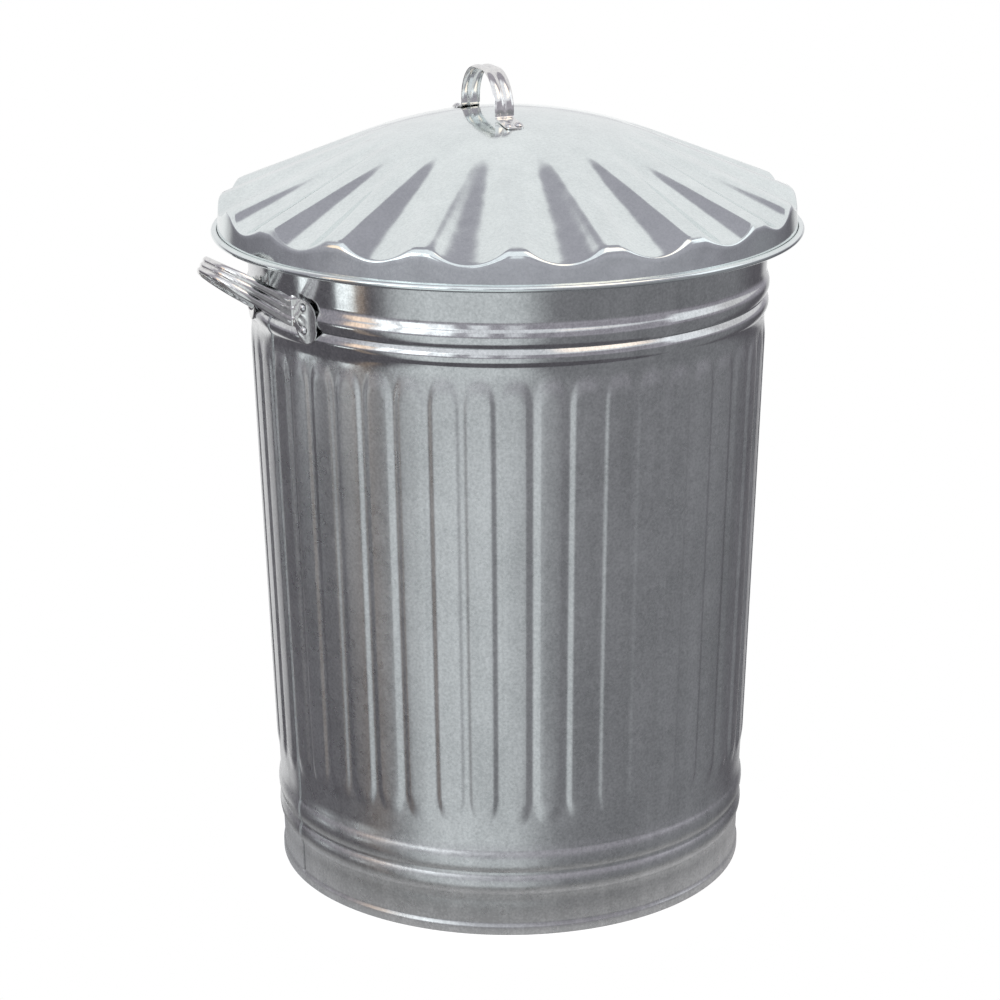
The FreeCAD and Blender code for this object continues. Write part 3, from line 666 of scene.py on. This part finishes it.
def side_bow():
    """Stations of half the bow, which leans up and narrows to its waist, from a leg to the middle."""
    tilt = math.radians(SIDE_TILT)
    outward = np.array([math.cos(tilt), 0, math.sin(tilt)])
    upward = np.array([-math.sin(tilt), 0, math.cos(tilt)])
    base = np.array([SIDE_FOOT_RADIUS + STRAP, 0, SIDE_BOW_HEIGHT])
    leg_start = SIDE_FOLD_OUT - base[0] + SIDE_LEG_START
    stations = []
    for point, bend in zip(*bow_line(SIDE_HALF_SPAN, SIDE_CORNER, SIDE_REACH, leg_start)):
        along, sideways = point
        narrowing = (SIDE_STRAP_WIDTH - SIDE_STRAP_WAIST) * (along / SIDE_REACH) ** 2
        half = (SIDE_STRAP_WIDTH - narrowing) / 2
        shear = 1 - float(smooth((along - SIDE_SHEAR_START) / SIDE_SHEAR_RUN))
        edgeways = upward + shear * outward * math.tan(tilt)
        centre = base + outward * along + np.array([0, sideways, 0])
        normal = outward * bend[0] + np.array([0, bend[1], 0])
        stations.append((centre, edgeways * half, normal, leg_rib(along, SIDE_RIB_RUN)))
    return stations


def side_handle(name, facing):
    stations = mirrored(side_foot() + side_fold() + side_bow())
    turn = Matrix.Rotation(math.radians(facing), 4, "Z")
    return ribbed_strap(*placed(stations, turn), SIDE_RIBS, name)


# Lid handle, about the dome's own top and in the YZ plane

def dome_rise(distance):
    """Height over the dome's top of a strap that lies on the dome, at a distance from the axis."""
    return np.sqrt(LID_SEAT_RADIUS ** 2 - distance ** 2) - CROWN_RADIUS


def lid_foot():
    """Stations of a foot that lies on the dome, from its end to the fold."""
    foot_end = LID_HALF_SPAN - STRAP / 2 + LID_FOOT_LENGTH
    run = foot_end - LID_FOLD_START
    stations = []
    rounded_end = round_end_steps(LID_FOOT_CORNER, LID_FOOT_END_ROWS)
    for distance in [*rounded_end, *np.linspace(LID_FOOT_ROWS_START, run, LID_FOOT_ROWS)]:
        sideways = foot_end - distance
        rise = dome_rise(sideways)
        normal = np.array([0, sideways, rise + CROWN_RADIUS]) / LID_SEAT_RADIUS
        half = rounded_half(distance, LID_STRAP_WIDTH / 2, LID_FOOT_CORNER)
        rib = LID_FOOT_RIB * float(smooth(distance / run))
        stations.append((np.array([0, sideways, rise]), np.array([half, 0, 0]), normal, rib))
    return stations


def lid_leg():
    """Stations of a fold, its leg and half the loop, up to the middle."""
    half = np.array([LID_STRAP_WIDTH / 2, 0, 0])
    low = dome_rise(LID_FOLD_START) + FOLD_RADIUS
    stations = []
    for turn in FOLD_TURNS:
        sideways = LID_FOLD_START - FOLD_RADIUS * math.cos(turn)
        centre = np.array([0, sideways, low + FOLD_RADIUS * math.sin(turn)])
        stations.append((centre, half, np.array([0, math.cos(turn), -math.sin(turn)]), RIB_IN_FOLD))
    for point, bend in zip(*bow_line(LID_HALF_SPAN, LID_CORNER, LID_REACH, low + LID_LEG_START)):
        along, sideways = point
        normal = np.array([0, bend[1], bend[0]])
        stations.append((np.array([0, sideways, along]), half, normal, leg_rib(along, LID_RIB_RUN)))
    return stations


def lid_handle():
    """The loop stands a little off the dome's top, so its feet sink by the dome's fall there."""
    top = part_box("lid_shell")[1].z
    turn = Matrix.Rotation(math.radians(LID_HANDLE_ANGLE - 90.0), 4, "Z")
    place = Matrix.Translation((*LID_HANDLE_CENTRE, top)) @ turn
    centres, halves, normals, rib_shares = placed(mirrored(lid_foot() + lid_leg()), place)
    from_axis = np.hypot(centres[:, 0], centres[:, 1])
    from_handle = np.hypot(centres[:, 0] - LID_HANDLE_CENTRE[0], centres[:, 1] - LID_HANDLE_CENTRE[1])
    on_dome = centres[:, 2] < top + LID_FOOT_TOP
    centres[:, 2] += np.where(on_dome, dome_rise(from_axis) - dome_rise(from_handle), 0.0)
    return ribbed_strap(centres, halves, normals, rib_shares, LID_RIBS, "lid_loop")


# Materials

class Nodes:
    """Short calls for building a node tree."""

    def __init__(self, tree):
        self.tree = tree
        tree.nodes.clear()

    def add(self, kind, **values):
        node = self.tree.nodes.new(kind)
        for name, value in values.items():
            setattr(node, name, value)
        return node

    def link(self, source, target):
        self.tree.links.new(source, target)

    def put(self, socket, value):
        if isinstance(value, bpy.types.NodeSocket):
            self.link(value, socket)
        else:
            socket.default_value = value

    def math(self, operation, *values):
        node = self.add("ShaderNodeMath", operation=operation)
        for socket, value in zip(node.inputs, values):
            self.put(socket, value)
        return node.outputs[0]

    def remap(self, value, low, high, new_low, new_high, smoothly=False):
        node = self.add("ShaderNodeMapRange")
        if smoothly:
            node.interpolation_type = "SMOOTHSTEP"
        for socket, entry in zip(node.inputs, (value, low, high, new_low, new_high)):
            self.put(socket, entry)
        return node.outputs[0]

    def height(self, vector):
        split = self.add("ShaderNodeSeparateXYZ")
        self.link(vector, split.inputs[0])
        return split.outputs["Z"]

    def noise(self, vector, scale, detail, roughness):
        node = self.add("ShaderNodeTexNoise")
        self.link(vector, node.inputs["Vector"])
        node.inputs["Scale"].default_value = scale
        node.inputs["Detail"].default_value = detail
        node.inputs["Roughness"].default_value = roughness
        return node.outputs["Fac"]

    def stretched(self, vector, scale):
        node = self.add("ShaderNodeMapping")
        self.link(vector, node.inputs["Vector"])
        node.inputs["Scale"].default_value = scale
        return node.outputs["Vector"]

    def light(self, kind, color, strength):
        node = self.add(kind)
        node.inputs["Color"].default_value = (*color, 1)
        self.put(node.inputs["Strength"], strength)
        return node.outputs[0]

    def added(self, first, second):
        node = self.add("ShaderNodeAddShader")
        self.link(first, node.inputs[0])
        self.link(second, node.inputs[1])
        return node.outputs[0]

    def mixed(self, share, first, second):
        node = self.add("ShaderNodeMixShader")
        for socket, source in zip(node.inputs, (share, first, second)):
            self.link(source, socket)
        return node.outputs[0]

    def output(self, kind, surface):
        self.link(surface, self.add(kind).inputs["Surface"])


def new_material(name):
    material = bpy.data.materials.new(name)
    material.use_nodes = True
    return material, Nodes(material.node_tree)


def dress(obj, material):
    obj.data.materials.clear()
    obj.data.materials.append(material)


def crystals(nodes, place):
    """A level for each crystal of the zinc."""
    cells = nodes.add("ShaderNodeTexVoronoi")
    nodes.link(place, cells.inputs["Vector"])
    cells.inputs["Scale"].default_value = CRYSTAL_SCALE
    levels = nodes.add("ShaderNodeSeparateColor")
    nodes.link(cells.outputs["Color"], levels.inputs[0])
    return levels.outputs[0]


def varied(nodes, base, patterns):
    """A value that patterns from 0 to 1 raise and lower by their weights."""
    for pattern, weight in patterns:
        base = nodes.math("MULTIPLY_ADD", nodes.math("SUBTRACT", pattern, 0.5), weight, base)
    return base


def uneven(nodes, place, waviness):
    """The normal of a sheet that isn't quite flat."""
    bump = nodes.add("ShaderNodeBump")
    bump.inputs["Strength"].default_value = 1.0
    bump.inputs["Distance"].default_value = waviness
    nodes.link(nodes.noise(place, *WAVES), bump.inputs["Height"])
    return bump.outputs[0]


def zinc(name, dark, light, roughness, gloss_roughness, spangle, waviness):
    """Zinc-coated steel: crystal spangle, cloudy tarnish, streaks, fine grain and a slightly uneven sheet.

    The sheet has kept its gloss above the flutes, where handling hasn't scuffed it.
    """
    material, nodes = new_material(name)
    place = nodes.add("ShaderNodeTexCoord").outputs["Object"]
    height = nodes.height(place)
    crystal = crystals(nodes, place)
    clouds = nodes.noise(place, *CLOUDS)
    streaks = nodes.noise(nodes.stretched(place, STREAK_STRETCH), *STREAKS)
    grain = nodes.noise(place, *GRAIN)

    tone = nodes.remap(height, 0.0, LOWER_BEADS[0], FOOT_TONE, WALL_TONE)
    patterns = [(crystal, spangle), (clouds, CLOUD_WEIGHT), (streaks, STREAK_WEIGHT), (grain, GRAIN_WEIGHT)]
    ramp = nodes.add("ShaderNodeValToRGB")
    nodes.link(varied(nodes, tone, patterns), ramp.inputs["Fac"])
    ramp.color_ramp.elements[0].color = (*dark, 1)
    ramp.color_ramp.elements[1].color = (*light, 1)

    spread = ROUGHNESS_SPREAD * gloss_roughness
    rough = nodes.remap(height, GLOSS_START, UPPER_BEADS[0], roughness, gloss_roughness, True)
    rough = varied(nodes, rough, [(clouds, spread), (crystal, spread)])

    shader = nodes.add("ShaderNodeBsdfPrincipled")
    shader.inputs["Metallic"].default_value = 1.0
    nodes.link(ramp.outputs[0], shader.inputs["Base Color"])
    nodes.link(rough, shader.inputs["Roughness"])
    nodes.link(uneven(nodes, place, waviness), shader.inputs["Normal"])
    nodes.output("ShaderNodeOutputMaterial", shader.outputs[0])
    return material


# Studio

def sees_white(nodes, in_metal):
    """1 for camera rays, and the given value for the rays that carry a reflection or pass through."""
    path = nodes.add("ShaderNodeLightPath")
    carried = nodes.math("ADD", path.outputs["Is Glossy Ray"], path.outputs["Is Transmission Ray"])
    white = nodes.math("MULTIPLY_ADD", carried, in_metal, path.outputs["Is Camera Ray"])
    return nodes.math("MINIMUM", white, 1.0)


def floor():
    """A pale disc that keeps the contact shadow and runs into the white surround at its edge."""
    bpy.ops.mesh.primitive_circle_add(vertices=128, radius=FLOOR_RADIUS, fill_type="NGON")
    disc = bpy.context.object
    disc.name = "floor"
    material, nodes = new_material("pale_floor")
    diffuse = nodes.add("ShaderNodeBsdfDiffuse")
    diffuse.inputs["Color"].default_value = (*FLOOR_COLOR, 1)
    seen = sees_white(nodes, FLOOR_IN_METAL)
    glow = nodes.light("ShaderNodeEmission", WHITE, nodes.math("MULTIPLY", seen, FLOOR_GLOW))
    white = nodes.light("ShaderNodeEmission", WHITE, seen)
    from_axis = nodes.add("ShaderNodeVectorMath", operation="LENGTH")
    nodes.link(nodes.add("ShaderNodeTexCoord").outputs["Object"], from_axis.inputs[0])
    fade = nodes.remap(from_axis.outputs["Value"], BASE_WALL_RADIUS, FLOOR_RADIUS, 0.0, 1.0, True)
    shaded = nodes.added(diffuse.outputs[0], glow)
    nodes.output("ShaderNodeOutputMaterial", nodes.mixed(fade, shaded, white))
    dress(disc, material)


def panel(nodes, flat, height, azimuth, half_width, low, high, blur, strength):
    """A soft upright panel of light in the surround, between two heights of the view direction."""
    towards = nodes.add("ShaderNodeVectorMath", operation="DOT_PRODUCT")
    nodes.link(flat, towards.inputs[0])
    turn = math.radians(azimuth)
    towards.inputs[1].default_value = (math.cos(turn), math.sin(turn), 0)
    outer = math.cos(min(math.radians(half_width + blur), math.pi))
    inner = math.cos(max(math.radians(half_width - blur), 0))
    sides = nodes.remap(towards.outputs["Value"], outer, inner, 0.0, 1.0, True)
    bottom = nodes.remap(height, low - PANEL_FOOT_BLUR, low + PANEL_FOOT_BLUR, 0.0, 1.0, True)
    top = nodes.remap(height, high - PANEL_TOP_BLUR, high + PANEL_TOP_BLUR, 1.0, 0.0, True)
    inside = nodes.math("MULTIPLY", nodes.math("MULTIPLY", sides, bottom), top)
    return nodes.math("MULTIPLY", inside, strength)


def surround():
    """A dim room with soft panels and a white backdrop behind the bin. The camera sees plain white."""
    world = bpy.data.worlds.new("studio")
    bpy.context.scene.world = world
    world.use_nodes = True
    nodes = Nodes(world.node_tree)
    direction = nodes.add("ShaderNodeTexCoord").outputs["Generated"]
    height = nodes.height(direction)
    level = nodes.add("ShaderNodeVectorMath", operation="MULTIPLY")
    nodes.link(direction, level.inputs[0])
    level.inputs[1].default_value = (1, 1, 0)
    flat = nodes.add("ShaderNodeVectorMath", operation="NORMALIZE")
    nodes.link(level.outputs[0], flat.inputs[0])

    def total(entries):
        strength = 0.0
        for values in entries:
            strength = nodes.math("ADD", panel(nodes, flat.outputs[0], height, *values), strength)
        return strength

    room_strength = nodes.remap(height, *ROOM_EDGE, ROOM_BELOW, ROOM_ABOVE, True)
    room = nodes.light("ShaderNodeBackground", ROOM_COLOR, room_strength)
    cool = nodes.light("ShaderNodeBackground", COOL, total(COOL_PANELS))
    warm = nodes.light("ShaderNodeBackground", WARM, total(WARM_PANELS))
    white = nodes.light("ShaderNodeBackground", WHITE, 1.0)
    lit_room = nodes.added(nodes.added(room, cool), warm)
    nodes.output("ShaderNodeOutputWorld", nodes.mixed(sees_white(nodes, total(BACKDROP)), lit_room, white))


def camera():
    """The photograph's viewpoint, which looks a little past the bin's axis."""
    data = bpy.data.cameras.new("camera")
    data.lens = LENS
    data.sensor_width = SENSOR
    data.sensor_fit = "HORIZONTAL"
    data.clip_end = 20.0
    obj = bpy.data.objects.new("camera", data)
    bpy.context.scene.collection.objects.link(obj)
    azimuth = math.radians(CAMERA_AZIMUTH)
    eye = (CAMERA_DISTANCE * math.cos(azimuth), CAMERA_DISTANCE * math.sin(azimuth), CAMERA_HEIGHT)
    facing = Matrix.Rotation(azimuth + math.pi / 2 - math.radians(CAMERA_YAW), 4, "Z")
    pitch = Matrix.Rotation(math.radians(90 + CAMERA_PITCH), 4, "X")
    roll = Matrix.Rotation(math.radians(CAMERA_ROLL), 4, "Z")
    obj.matrix_world = Matrix.Translation(eye) @ facing @ pitch @ roll
    bpy.context.scene.camera = obj
    bpy.context.scene.view_settings.view_transform = "Standard"


def main():
    camera()
    surround()
    floor()

    finishes = {slot: zinc(slot, *values) for slot, values in FINISHES.items()}
    for entry in frame["record"]["subparts"]:
        dress(frame["nodes"][entry["node"]], finishes[entry["material_slot"]])

    pieces = [
        (body_shell(), "body_shell", "bin", "zinc_body"),
        (lid_shell(), "lid_shell", "lid", "zinc_lid"),
        (side_handle("left_strap", 180.0), "left_handle", "bin", "zinc_strap"),
        (side_handle("right_strap", 0.0), "right_handle", "bin", "zinc_strap"),
        (lid_handle(), "lid_handle", "lid", "zinc_strap"),
    ]
    for piece, node, body, slot in pieces:
        dress(piece, finishes[slot])
        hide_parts(node)
        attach(piece, body)


main()
